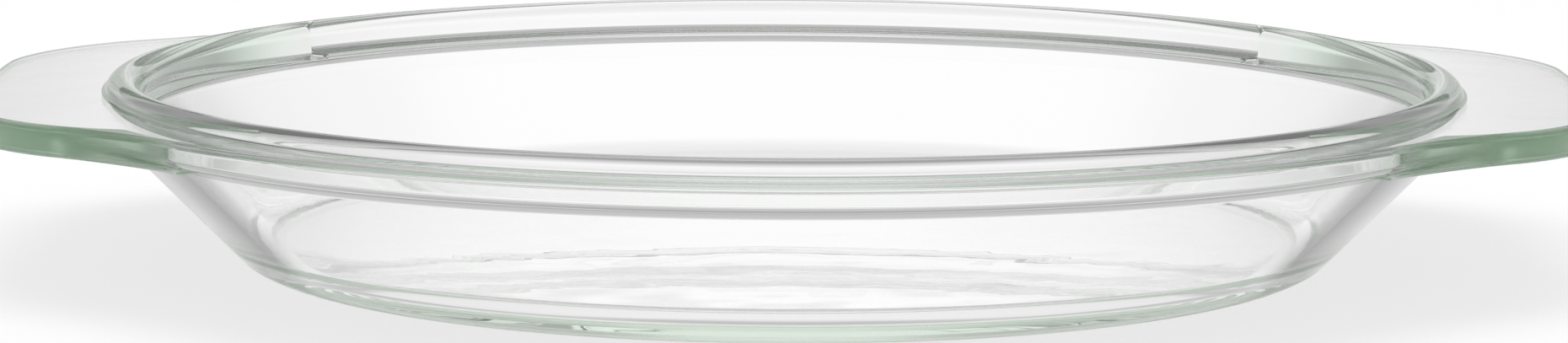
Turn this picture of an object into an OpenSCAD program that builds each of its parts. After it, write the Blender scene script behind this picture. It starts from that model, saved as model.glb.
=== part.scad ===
// Shallow round dish of clear pressed glass, one piece with its rim, flange and two wide tabs.
// The origin is the middle of the underside, +Z is up and the tabs reach out along X.

/* [Body] */
// Height from the table to the crest of the rim
dish_h = 33.6; // [28:0.2:45]
// Radius at which the line of the outer wall meets the table
base_r = 96.5; // [80:0.5:106]
// Thickness of the floor
floor_t = 4.6; // [3:0.1:7]
// Thickness of the sloping wall, square to its face
wall_t = 4.2; // [3:0.1:5.5]

/* [Rim] */
// Radius of the circle along the crest of the rim
rim_r = 118.2; // [114:0.2:122]
// Width of the rim's round bead
rim_w = 6; // [4:0.2:8]
// Depth of the upright band inside the rim, from the crest down
band_h = 8.2; // [5:0.2:11]
// Height of the crest above the flange
rim_stand = 2.7; // [1.5:0.1:5]

/* [Flange] */
// Outer radius of the flange
flange_r = 130.2; // [127:0.2:134]
// Thickness of the flange
flange_t = 4.5; // [3.4:0.1:5]

/* [Tabs] */
// Length of the dish over both tabs
tab_span = 289; // [276:1:300]
// Width of a tab between the outermost points of its corner arcs
tab_w = 142; // [110:1:150]
// Radius of a tab's corner arcs in plan
tab_corner_r = 45; // [38:1:50]
// Thickness of a tab
tab_t = 5.4; // [4:0.1:6]

/* [Rounding] */
// Round where the wall meets the table
base_round = 6; // [2:0.5:9]
// Round inside the dish between the floor and the wall
floor_round = 12; // [4:0.5:20]
// Round inside the dish between the wall and the upright band
band_round = 2; // [0.5:0.1:4]
// Round between the rim's bead and the top of the flange
foot_round = 0.8; // [0.4:0.1:1.5]
// Round under the flange where it leaves the wall
under_round = 2; // [0.5:0.1:3]
// Round along the upper edge of the flange
nose_top_round = 1.4; // [0.5:0.1:1.6]
// Round along the lower edge of the flange
nose_low_round = 1.6; // [0.5:0.1:1.7]
// Round along both edges of a tab
tab_round = 1.2; // [0.5:0.1:1.9]

/* [Hidden] */
$fn = 180;

// The rim: its bead, its inner face and the height where the upright band ends
bead_r = rim_w / 2;
bead_z = dish_h - bead_r;
rim_in = rim_r - bead_r;
band_z = dish_h - band_h;

// The wall leans so that its faces pass the foot and the band's corner, wall_t apart
corner_run = rim_in - base_r;
wall_lean = atan2(band_z, corner_run) - asin(wall_t / norm([corner_run, band_z]));
floor_r = rim_in - (band_z - floor_t) / tan(wall_lean);

// The flange and the place where its underside meets the wall
flange_z = dish_h - rim_stand;
under_z = flange_z - flange_t;
join_r = base_r + under_z / tan(wall_lean);

// A patch reaches this far past its corner, as a share of its size, so that it never ends on a face
past = 1.08;

// The round at the foot of the bead lies on the flange and bites into the bead by foot_bite,
// a hair, so that the two curves cross instead of only touching
foot_bite = 0.0005;
foot_rise = max(0, flange_z + foot_round - bead_z);
foot_gap = bead_r + foot_round - foot_bite;
foot_c = [rim_r + sqrt(pow(foot_gap, 2) - pow(foot_rise, 2)), flange_z + foot_round];

// The centres of a tab's corner arcs
tab_x = tab_span / 2 - tab_corner_r;
tab_y = tab_w / 2 - tab_corner_r;

glass = [0.82, 0.91, 0.86, 0.55];

// A step of length len in direction dir, in degrees
function along(dir, len) = len * [cos(dir), sin(dir)];

// The patch between a corner at v, whose sides leave in directions a and b, and its round of radius r
module corner_patch(v, a, b, r) {
    half = abs(a - b) / 2;
    side = r / tan(half);
    centre = v + along((a + b) / 2, r / sin(half));
    translate(centre) difference() {
        polygon(past * [v - centre, v + along(a, side) - centre, [0, 0], v + along(b, side) - centre]);
        circle(r);
    }
}

// Half section of the dish before its outer edges are rounded
module sharp_section() {
    polygon([
        [0, 0], [base_r, 0], [join_r, under_z], [flange_r, under_z], [flange_r, flange_z],
        [rim_r, flange_z], [rim_r, bead_z], [rim_in, bead_z], [rim_in, band_z],
        [floor_r, floor_t], [0, floor_t]
    ]);
    translate([rim_r, bead_z]) circle(bead_r);
    corner_patch([floor_r, floor_t], 180, wall_lean, floor_round);
    corner_patch([rim_in, band_z], 90, 180 + wall_lean, band_round);
    corner_patch([join_r, under_z], 0, wall_lean - 180, under_round);
    difference() {
        polygon([[rim_r, bead_z], foot_c, [foot_c.x, flange_z - foot_round], [rim_r, flange_z - foot_round]]);
        translate(foot_c) circle(foot_round);
    }
}

// Half section of the dish
module dish_section() {
    difference() {
        sharp_section();
        corner_patch([base_r, 0], 180, wall_lean, base_round);
        corner_patch([flange_r, flange_z], 180, 270, nose_top_round);
        corner_patch([flange_r, under_z], 90, 180, nose_low_round);
    }
}

// Section of a tab from the centre of a corner arc to its edge
module tab_section() {
    low_z = flange_z - tab_t;
    difference() {
        translate([0, low_z]) square([tab_corner_r, tab_t]);
        corner_patch([tab_corner_r, flange_z], 180, 270, tab_round);
        corner_patch([tab_corner_r, low_z], 90, 180, tab_round);
    }
}

// One tab, its top flush with the flange and its root inside the rim's wall
module tab() {
    difference() {
        translate([tab_x, 0, 0]) {
            for (side = [-1, 1])
                translate([0, side * tab_y, 0]) rotate_extrude() tab_section();
            rotate([90, 0, 0]) linear_extrude(2 * tab_y, center = true) tab_section();
        }
        cylinder(h = 2 * dish_h, r = rim_r);
    }
}

module dish() {
    color(glass) {
        rotate_extrude() dish_section();
        tab();
        mirror([1, 0, 0]) tab();
    }
}

dish();
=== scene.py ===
# Clear pressed glass dish on a pale studio floor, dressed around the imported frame
import math

import bmesh
import bpy
from mathutils import Matrix, Vector


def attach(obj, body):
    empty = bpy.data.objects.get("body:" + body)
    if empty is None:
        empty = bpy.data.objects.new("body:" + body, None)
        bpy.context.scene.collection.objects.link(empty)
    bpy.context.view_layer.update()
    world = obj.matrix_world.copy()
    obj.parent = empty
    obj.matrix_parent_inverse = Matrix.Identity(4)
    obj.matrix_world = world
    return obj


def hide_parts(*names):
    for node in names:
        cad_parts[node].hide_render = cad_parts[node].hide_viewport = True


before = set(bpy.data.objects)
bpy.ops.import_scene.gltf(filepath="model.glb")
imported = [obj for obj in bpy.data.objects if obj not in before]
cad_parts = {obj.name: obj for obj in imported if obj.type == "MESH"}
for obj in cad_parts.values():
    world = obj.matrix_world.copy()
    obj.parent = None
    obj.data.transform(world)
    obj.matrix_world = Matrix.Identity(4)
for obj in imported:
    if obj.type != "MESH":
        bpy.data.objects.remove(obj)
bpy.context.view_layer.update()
mm = 0.001

# how near points have to be, in millimetres, to be merged or taken as level
nearness = {
    "plan": 0.01,
    "spun": 0.001,
    "joined": 0.005,
    "sliver": 0.001,
    "level": 0.01,
}

# the dish itself, in millimetres, as the frame has it
dishSize = {
    "height": 33.6,
    "footRadius": 96.5,
    "floorThick": 4.6,
    "wallThick": 4.2,
    "crestRadius": 118.2,
    "beadWidth": 6.0,
    "bandDepth": 8.2,
    "rimStand": 2.7,
    "flangeRadius": 130.2,
    "flangeThick": 4.5,
    "footRound": 6.0,
    "floorRound": 12.0,
    "bandRound": 2.0,
    "filletRound": 0.8,
    "underRound": 2.0,
    "noseTopRound": 1.4,
    "noseLowRound": 1.6,
    "turnSteps": 360,
    "roundSteps": 8,
    "beadSteps": 24,
    "sharpFrom": 25,
}

# the tabs, as the frame has them but for the hollow roots, which only this mesh has
tabSize = {
    "span": 289.0,
    "width": 142.0,
    "cornerRadius": 45.0,
    "rootAngle": 40.6,
    "rootInset": 40,
    "thick": 5.4,
    "edgeRound": 1.2,
    "cornerSteps": 40,
    "edgeSteps": 6,
}


def meshObject(name, bm):
    mesh = bpy.data.meshes.new(name)
    bm.to_mesh(mesh)
    bm.free()
    obj = bpy.data.objects.new(name, mesh)
    bpy.context.scene.collection.objects.link(obj)
    return obj


def applyModifier(obj, kind, **settings):
    modifier = obj.modifiers.new(kind.title(), kind)
    for key, value in settings.items():
        setattr(modifier, key, value)
    bpy.context.view_layer.objects.active = obj
    bpy.ops.object.modifier_apply(modifier=modifier.name)


# a run of edges through the corners, each corner rounded by its own radius
def roundedLine(bm, corners, steps):
    verts = [bm.verts.new((r * mm, 0, z * mm)) for r, z, _ in corners]
    for a, b in zip(verts, verts[1:]):
        bm.edges.new((a, b))
    for i in range(1, len(verts) - 1):
        here = Vector(corners[i][:2])
        toPrev = Vector(corners[i - 1][:2]) - here
        toNext = Vector(corners[i + 1][:2]) - here
        reach = corners[i][2] / math.tan(toPrev.angle(toNext) / 2)
        bmesh.ops.bevel(bm, geom=[verts[i]], offset=reach * mm, offset_type="OFFSET",
                        segments=steps, profile=0.5, affect="VERTICES", material=-1,
                        clamp_overlap=False)


# an arc that starts at a point of the half section and turns about a centre
def arc(bm, start, centre, angle, steps):
    vert = bm.verts.new((start[0] * mm, 0, start[1] * mm))
    bmesh.ops.spin(bm, geom=[vert], cent=(centre[0] * mm, 0, centre[1] * mm), axis=(0, 1, 0),
                   angle=angle, steps=steps)


def buildBody(s):
    bead = s["beadWidth"] / 2
    beadZ = s["height"] - bead
    rimIn = s["crestRadius"] - bead
    bandZ = s["height"] - s["bandDepth"]
    run = rimIn - s["footRadius"]
    lean = math.atan2(bandZ, run) - math.asin(s["wallThick"] / math.hypot(run, bandZ))
    floorRadius = rimIn - (bandZ - s["floorThick"]) / math.tan(lean)
    flangeZ = s["height"] - s["rimStand"]
    underZ = flangeZ - s["flangeThick"]
    joinRadius = s["footRadius"] + underZ / math.tan(lean)
    filletZ = flangeZ + s["filletRound"]
    rise = math.asin((filletZ - beadZ) / (bead + s["filletRound"]))
    filletRadius = s["crestRadius"] + (bead + s["filletRound"]) * math.cos(rise)
    bm = bmesh.new()
    roundedLine(bm, [
        (0, 0, 0),
        (s["footRadius"], 0, s["footRound"]),
        (joinRadius, underZ, s["underRound"]),
        (s["flangeRadius"], underZ, s["noseLowRound"]),
        (s["flangeRadius"], flangeZ, s["noseTopRound"]),
        (filletRadius, flangeZ, 0),
    ], s["roundSteps"])
    arc(bm, (filletRadius, flangeZ), (filletRadius, filletZ), math.pi / 2 - rise, s["roundSteps"])
    touch = (s["crestRadius"] + bead * math.cos(rise), beadZ + bead * math.sin(rise))
    arc(bm, touch, (s["crestRadius"], beadZ), rise - math.pi, s["beadSteps"])
    roundedLine(bm, [
        (rimIn, beadZ, 0),
        (rimIn, bandZ, s["bandRound"]),
        (floorRadius, s["floorThick"], s["floorRound"]),
        (0, s["floorThick"], 0),
    ], s["roundSteps"])
    bmesh.ops.remove_doubles(bm, verts=bm.verts, dist=nearness["plan"] * mm)
    bmesh.ops.spin(bm, geom=bm.verts[:] + bm.edges[:], cent=(0, 0, 0), axis=(0, 0, 1),
                   angle=2 * math.pi, steps=s["turnSteps"], use_merge=True)
    bmesh.ops.remove_doubles(bm, verts=bm.verts, dist=nearness["spun"] * mm)
    bmesh.ops.recalc_face_normals(bm, faces=bm.faces)
    return meshObject("glassDish", bm)


# the two corners of a tab's half plan, each with the reach of its round: the hollow at the root,
# which touches the flange and the shoulder, and the shoulder itself
def tabCorners(s, t):
    shoulder = Vector((t["span"] / 2 - t["cornerRadius"], t["width"] / 2 - t["cornerRadius"]))
    rootAngle = math.radians(t["rootAngle"])
    away = Vector((math.cos(rootAngle), math.sin(rootAngle)))
    past = s["flangeRadius"] - t["cornerRadius"]
    hollow = away * (shoulder.length_squared - past ** 2) / (2 * (away.dot(shoulder) - past))
    reach = (hollow.length - s["flangeRadius"]) * math.tan(away.angle(hollow - shoulder) / 2)
    root = away * s["flangeRadius"] + Vector((away.y, -away.x)) * reach
    touch = shoulder + (hollow - shoulder).normalized() * t["cornerRadius"]
    run = touch - root
    tip = root + run * (t["span"] / 2 - root.x) / run.x
    return (away * s["flangeRadius"], 0), (root, reach), (tip, (tip - touch).length)


def buildTab(side, s, t):
    top = s["height"] - s["rimStand"]
    bm = bmesh.new()
    inner = s["crestRadius"] - t["rootInset"]
    corners = [(Vector((inner, t["width"] / 2)), 0), *tabCorners(s, t)]
    corners += [(Vector((place.x, -place.y)), reach) for place, reach in reversed(corners)]
    verts = [bm.verts.new((side * place.x * mm, place.y * mm, (top - t["thick"]) * mm))
             for place, _ in corners]
    bm.faces.new(verts)
    for vert, (_, reach) in zip(verts, corners):
        if reach:
            bmesh.ops.bevel(bm, geom=[vert], offset=reach * mm, offset_type="OFFSET",
                            segments=t["cornerSteps"], profile=0.5, affect="VERTICES", material=-1,
                            clamp_overlap=False)
    bmesh.ops.remove_doubles(bm, verts=bm.verts, dist=nearness["plan"] * mm)
    lift = bmesh.ops.extrude_face_region(bm, geom=bm.faces[:])
    bmesh.ops.translate(bm, vec=(0, 0, t["thick"] * mm),
                        verts=[g for g in lift["geom"] if isinstance(g, bmesh.types.BMVert)])
    bmesh.ops.recalc_face_normals(bm, faces=bm.faces)
    edges = [e for e in bm.edges
             if abs(e.verts[0].co.z - e.verts[1].co.z) < nearness["level"] * mm]
    bmesh.ops.bevel(bm, geom=edges, offset=t["edgeRound"] * mm, offset_type="OFFSET",
                    segments=t["edgeSteps"], profile=0.5, affect="EDGES", material=-1)
    tab = meshObject("tab", bm)
    bm = bmesh.new()
    bmesh.ops.create_cone(bm, cap_ends=True, segments=s["turnSteps"], radius1=s["crestRadius"] * mm,
                          radius2=s["crestRadius"] * mm, depth=2 * s["height"] * mm)
    core = meshObject("core", bm)
    applyModifier(tab, "BOOLEAN", operation="DIFFERENCE", solver="EXACT", object=core)
    bpy.data.objects.remove(core)
    return tab


def buildDish():
    dish = buildBody(dishSize)
    for side in (-1, 1):
        tab = buildTab(side, dishSize, tabSize)
        applyModifier(dish, "BOOLEAN", operation="UNION", solver="EXACT", object=tab)
        bpy.data.objects.remove(tab)
    bm = bmesh.new()
    bm.from_mesh(dish.data)
    bmesh.ops.remove_doubles(bm, verts=bm.verts, dist=nearness["joined"] * mm)
    bmesh.ops.dissolve_degenerate(bm, dist=nearness["sliver"] * mm, edges=bm.edges)
    for face in bm.faces:
        face.smooth = True
    bm.to_mesh(dish.data)
    bm.free()
    # the rounds stay smooth, and the tab's underside keeps its corner against the wall
    dish.data.set_sharp_from_angle(angle=math.radians(dishSize["sharpFrom"]))
    applyModifier(dish, "WEIGHTED_NORMAL", mode="FACE_AREA", weight=50, keep_sharp=True)
    return dish


def calculated(nodes, links, operation, *values):
    node = nodes.new("ShaderNodeMath")
    node.operation = operation
    for socket, value in zip(node.inputs, values):
        if isinstance(value, (int, float)):
            socket.default_value = value
        else:
            links.new(value, socket)
    return node.outputs[0]


def mixed(nodes, links, factor, low, high):
    node = nodes.new("ShaderNodeMix")
    for socket, value in zip(("Factor", "A", "B"), (factor, low, high)):
        if isinstance(value, (int, float)):
            node.inputs[socket].default_value = value
        else:
            links.new(value, node.inputs[socket])
    return node.outputs["Result"]


# 0 up to the first value, 1 from the second on
def smoothStep(nodes, links, value, low, high):
    node = nodes.new("ShaderNodeMapRange")
    node.interpolation_type = "SMOOTHSTEP"
    node.inputs["From Min"].default_value = low
    node.inputs["From Max"].default_value = high
    links.new(value, node.inputs["Value"])
    return node.outputs["Result"]


# pressed glass: polished, faintly green where it is thick, with the faint flow lines that the
# mould leaves round the walls, and with duller, streaked outer edges
glassLook = {
    "ior": 1.48,
    "tint": (0.6875, 0.9, 0.6875, 1),
    "density": 2.3,
    "lineScale": (22, 22, 420),
    "lineDepth": 0.012,
    "waveScale": (30, 30, 30),
    "waveDepth": 0.12,
    "streakScale": (18, 18, 1100),
    "streakDepth": 0.04,
    "noiseDetail": 2,
    "bumpStrength": 0.35,
    "edgeRough": 0.26,
    "edgeColor": (0.83, 1, 0.84, 1),
    "edgeDepth": 1.4,
    "edgeFade": 0.8,
    "rootFade": 16,
}


# 1 on the outer edges of the tabs, 0 on everything inside them
def edgeMask(nodes, links, place, g):
    split = nodes.new("ShaderNodeSeparateXYZ")
    links.new(place, split.inputs[0])
    x, y, _ = split.outputs
    start = tabSize["cornerRadius"] - g["edgeDepth"]
    tabX = tabSize["span"] / 2 - tabSize["cornerRadius"]
    tabY = tabSize["width"] / 2 - tabSize["cornerRadius"]
    out = []
    for value, middle in ((x, tabX), (y, tabY)):
        reach = calculated(nodes, links, "ABSOLUTE", value)
        reach = calculated(nodes, links, "SUBTRACT", reach, middle * mm)
        out.append(calculated(nodes, links, "MAXIMUM", reach, 0))
    fromArc = calculated(nodes, links, "SQRT", calculated(
        nodes, links, "ADD", calculated(nodes, links, "MULTIPLY", out[0], out[0]),
        calculated(nodes, links, "MULTIPLY", out[1], out[1])))
    fromAxis = calculated(nodes, links, "SQRT", calculated(
        nodes, links, "ADD", calculated(nodes, links, "MULTIPLY", x, x),
        calculated(nodes, links, "MULTIPLY", y, y)))
    rim = dishSize["flangeRadius"] - g["edgeDepth"]
    end = tabSize["cornerRadius"] + g["edgeFade"] / 2
    onArc = calculated(
        nodes, links, "MULTIPLY",
        smoothStep(nodes, links, fromArc, start * mm, (start + g["edgeFade"]) * mm),
        smoothStep(nodes, links, fromArc, (end + g["rootFade"]) * mm, end * mm))
    return calculated(
        nodes, links, "MULTIPLY", onArc,
        smoothStep(nodes, links, fromAxis, rim * mm, (rim + g["edgeFade"]) * mm))


# fine noise drawn out along the level directions, as a height in millimetres
def flowLines(nodes, links, place, scale, depth):
    spread = nodes.new("ShaderNodeMapping")
    spread.inputs["Scale"].default_value = scale
    links.new(place, spread.inputs["Vector"])
    lines = nodes.new("ShaderNodeTexNoise")
    lines.inputs["Scale"].default_value = 1
    lines.inputs["Detail"].default_value = glassLook["noiseDetail"]
    links.new(spread.outputs["Vector"], lines.inputs["Vector"])
    return calculated(nodes, links, "MULTIPLY", lines.outputs["Fac"], depth)


def glassMaterial(g):
    mat = bpy.data.materials.new("clearGlass")
    mat.use_nodes = True
    nodes, links = mat.node_tree.nodes, mat.node_tree.links
    shader = nodes["Principled BSDF"]
    shader.inputs["IOR"].default_value = g["ior"]
    shader.inputs["Transmission Weight"].default_value = 1
    place = nodes.new("ShaderNodeTexCoord").outputs["Object"]
    edge = edgeMask(nodes, links, place, g)
    rough = calculated(nodes, links, "MULTIPLY", edge, g["edgeRough"])
    links.new(rough, shader.inputs["Roughness"])
    colour = nodes.new("ShaderNodeMix")
    colour.data_type = "RGBA"
    colour.inputs["A"].default_value = (1, 1, 1, 1)
    colour.inputs["B"].default_value = g["edgeColor"]
    links.new(edge, colour.inputs["Factor"])
    links.new(colour.outputs["Result"], shader.inputs["Base Color"])
    wallLines = calculated(nodes, links, "ADD",
                           flowLines(nodes, links, place, g["lineScale"], g["lineDepth"]),
                           flowLines(nodes, links, place, g["waveScale"], g["waveDepth"]))
    edgeLines = flowLines(nodes, links, place, g["streakScale"], g["streakDepth"])
    bump = nodes.new("ShaderNodeBump")
    bump.inputs["Strength"].default_value = g["bumpStrength"]
    bump.inputs["Distance"].default_value = mm
    links.new(mixed(nodes, links, edge, wallLines, edgeLines), bump.inputs["Height"])
    links.new(bump.outputs["Normal"], shader.inputs["Normal"])
    absorb = nodes.new("ShaderNodeVolumeAbsorption")
    absorb.inputs["Color"].default_value = g["tint"]
    absorb.inputs["Density"].default_value = g["density"]
    links.new(absorb.outputs[0], nodes["Material Output"].inputs["Volume"])
    return mat


dish = buildDish()
dish.data.materials.clear()
dish.data.materials.append(glassMaterial(glassLook))
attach(dish, "root")
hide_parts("dish")
print("dish", len(dish.data.polygons), "faces")

# the camera of the photograph
cameraSize = {
    "distance": 850.0,
    "elevation": 8.105,
    "aimHeight": 14.64,
    "roll": 0.272,
    "lens": 108.05,
    "sensor": 36,
    "clipStart": 0.01,
}


def buildCamera(c):
    data = bpy.data.cameras.new("camera")
    data.lens = c["lens"]
    data.sensor_width = c["sensor"]
    data.clip_start = c["clipStart"]
    camera = bpy.data.objects.new("camera", data)
    bpy.context.scene.collection.objects.link(camera)
    rise = math.radians(c["elevation"])
    aim = Vector((0, 0, c["aimHeight"] * mm))
    place = aim + Vector((0, -math.cos(rise), math.sin(rise))) * c["distance"] * mm
    look = (aim - place).to_track_quat("-Z", "Y").to_matrix().to_4x4()
    roll = Matrix.Rotation(math.radians(c["roll"]), 4, "Z")
    camera.matrix_world = Matrix.Translation(place) @ look @ roll
    bpy.context.scene.camera = camera


buildCamera(cameraSize)
print("camera")


def ramp(nodes, links, value, stops):
    node = nodes.new("ShaderNodeValToRGB")
    elements = node.color_ramp.elements
    while len(elements) < len(stops):
        elements.new(0.5)
    for element, (position, level) in zip(elements, stops):
        element.position = position
        element.color = (level, level, level, 1)
    links.new(value, node.inputs[0])
    return node.outputs["Color"]


# the floor glows for the camera; glass and mirrors look past it into the room
floorSize = {
    "radius": 6.0,
    "turnSteps": 96,
    "paint": 0.82,
    "rough": 0.6,
    "cameraGlow": 0.75,
}


def buildFloor(f):
    bm = bmesh.new()
    bmesh.ops.create_circle(bm, cap_ends=True, segments=f["turnSteps"], radius=f["radius"])
    floor = meshObject("floor", bm)
    mat = bpy.data.materials.new("paleFloor")
    mat.use_nodes = True
    nodes, links = mat.node_tree.nodes, mat.node_tree.links
    shader = nodes["Principled BSDF"]
    shader.inputs["Base Color"].default_value = (f["paint"], f["paint"], f["paint"], 1)
    shader.inputs["Roughness"].default_value = f["rough"]
    glow = nodes.new("ShaderNodeEmission")
    mix = nodes.new("ShaderNodeMixShader")
    path = nodes.new("ShaderNodeLightPath")
    links.new(calculated(nodes, links, "MULTIPLY", path.outputs["Is Camera Ray"], f["cameraGlow"]),
              mix.inputs[0])
    links.new(shader.outputs[0], mix.inputs[1])
    links.new(glow.outputs[0], mix.inputs[2])
    links.new(mix.outputs[0], nodes["Material Output"].inputs["Surface"])
    floor.data.materials.append(mat)
    floor.visible_glossy = False
    floor.visible_transmission = False


buildFloor(floorSize)
print("floor")

# the room as glass shows it, in levels by elevation in degrees. Light that only passes through
# the glass comes from the pale floor and sweep, or from a dimmer room above them, with a dimmer
# door either side of the sweep. The thick edges, where light passes more than one wall, find the
# shadow under the table. Light that is turned back inside the glass comes from lit walls, a gap
# above them and a ceiling light, with darker tables at the sides and behind.
roomSize = {
    "light": 0.6,
    "wallDepth": 3,
    "through": ((-90, 0.92), (-38, 0.92), (-29, 0.82), (-20, 0.88), (-12, 1), (1, 1), (4, 0.58),
                (15, 0.5), (20, 0.35), (90, 0.3)),
    "throughBeside": ((-90, 0.92), (-38, 0.92), (-29, 0.8), (-20, 0.88), (-12, 0.9), (1, 0.9),
                      (4, 0.56), (15, 0.5), (20, 0.35), (90, 0.3)),
    "doors": ((-90, 0.92), (-38, 0.92), (-29, 0.8), (-20, 0.88), (-12, 0.85), (-8, 0.45), (4, 0.32),
              (15, 0.4), (20, 0.35), (90, 0.3)),
    "underTable": ((-90, 0.4), (-60, 0.35), (-42, 0.35), (-33, 0.85), (-27, 1.2), (-20, 1.1),
                   (-14, 1), (90, 1)),
    "ahead": ((-90, 0.95), (-58, 0.85), (-46, 0.68), (-40, 0.5), (-26, 0.52), (-12, 0.95),
              (-3, 0.9), (4, 0.95), (10.1, 1), (10.5, 0.05), (18, 0.05), (19.5, 0.8),
              (26, 0.8), (31, 0.65), (45, 0.7), (50, 0.85), (90, 0.85)),
    "beside": ((-90, 0.95), (-58, 0.86), (-32, 0.82), (-27, 0.48), (-20, 0.58), (-12, 0.72),
               (-3, 0.67), (4, 0.7), (10.1, 0.74), (10.5, 0.05), (18, 0.05), (19.5, 0.4),
               (26, 0.4), (31, 0.45), (45, 0.5), (50, 0.8), (80, 0.85), (90, 0.85)),
    "aside": ((-90, 0.95), (-60, 0.88), (-32, 0.86), (-28, 0.3), (-11, 0.3), (3, 0.5), (10, 0.6),
              (16, 0.3), (23, 0.22), (30, 0.5), (42, 0.5), (50, 0.35), (70, 0.4), (80, 0.85),
              (90, 0.85)),
    "behind": ((-90, 0.95), (-60, 0.75), (-50, 0.6), (-34, 0.5), (-30, 0.15), (-4, 0.12), (2, 0.6),
               (10, 0.88), (17, 0.6), (23, 0.28), (38, 0.15), (50, 0.85), (90, 0.85)),
    "sweepWidth": (10.5, 3),
    "doorWidth": (62, 54, 33, 13),
    "aheadWidth": (30, 14),
    "behindWidth": (75, 50),
}


def buildWorld(r):
    world = bpy.data.worlds.new("studio")
    world.use_nodes = True
    bpy.context.scene.world = world
    nodes, links = world.node_tree.nodes, world.node_tree.links
    back = nodes["Background"]
    place = nodes.new("ShaderNodeTexCoord")
    split = nodes.new("ShaderNodeSeparateXYZ")
    links.new(place.outputs["Generated"], split.inputs[0])
    x, y, z = split.outputs
    flat = calculated(nodes, links, "SQRT", calculated(
        nodes, links, "ADD", calculated(nodes, links, "MULTIPLY", x, x),
        calculated(nodes, links, "MULTIPLY", y, y)))
    facing = calculated(nodes, links, "DIVIDE", y, flat)
    height = calculated(nodes, links, "MULTIPLY_ADD", z, 0.5, 0.5)

    def within(width):
        # 1 inside the second angle either side of straight ahead, 0 outside the first
        low, high = (math.cos(math.radians(angle)) for angle in width)
        return smoothStep(nodes, links, facing, low, high)

    def levels(name):
        return ramp(nodes, links, height, [((math.sin(math.radians(elevation)) + 1) / 2, level)
                                           for elevation, level in r[name]])

    path = nodes.new("ShaderNodeLightPath")
    sweep = within(r["sweepWidth"])
    turned = mixed(nodes, links, sweep, levels("beside"), levels("ahead"))
    turned = mixed(nodes, links, within(r["aheadWidth"]), levels("aside"), turned)
    turned = mixed(nodes, links, within(r["behindWidth"]), levels("behind"), turned)
    doors = calculated(nodes, links, "SUBTRACT", within(r["doorWidth"][:2]),
                       within(r["doorWidth"][2:]))
    through = mixed(nodes, links, sweep, levels("throughBeside"), levels("through"))
    through = mixed(nodes, links, doors, through, levels("doors"))
    walls = calculated(nodes, links, "GREATER_THAN", path.outputs["Transmission Depth"],
                       r["wallDepth"])
    through = calculated(nodes, links, "MULTIPLY", through,
                         mixed(nodes, links, walls, 1, levels("underTable")))
    inside = calculated(nodes, links, "MINIMUM", path.outputs["Glossy Depth"], 1)
    room = mixed(nodes, links, inside, through, turned)
    glass = calculated(nodes, links, "MAXIMUM", path.outputs["Is Glossy Ray"],
                       path.outputs["Is Transmission Ray"])
    seen = mixed(nodes, links, glass, r["light"], room)
    links.new(mixed(nodes, links, path.outputs["Is Camera Ray"], seen, 1), back.inputs["Strength"])
    back.inputs["Color"].default_value = (1, 1, 1, 1)


buildWorld(roomSize)
print("room")

# one soft light overhead, which the glass doesn't show
lampSize = {
    "place": (0, 0.2, 1.3),
    "aim": (0, 0, 0),
    "size": (1.4, 0.9),
    "power": 16,
}


def buildLamp(p):
    data = bpy.data.lights.new("overhead", "AREA")
    data.shape = "RECTANGLE"
    data.size, data.size_y = p["size"]
    data.energy = p["power"]
    lamp = bpy.data.objects.new("overhead", data)
    bpy.context.scene.collection.objects.link(lamp)
    lamp.location = p["place"]
    look = (Vector(p["aim"]) - Vector(p["place"])).to_track_quat("-Z", "Y")
    lamp.rotation_euler = look.to_euler()
    lamp.visible_glossy = False
    lamp.visible_transmission = False


buildLamp(lampSize)
print("lamp")

bpy.context.scene.view_settings.view_transform = "Standard"

# light turns many times inside thick glass before it comes out
glassBounces = 80
bpy.context.scene.cycles.max_bounces = glassBounces
bpy.context.scene.cycles.transmission_bounces = glassBounces
bpy.context.scene.cycles.glossy_bounces = glassBounces
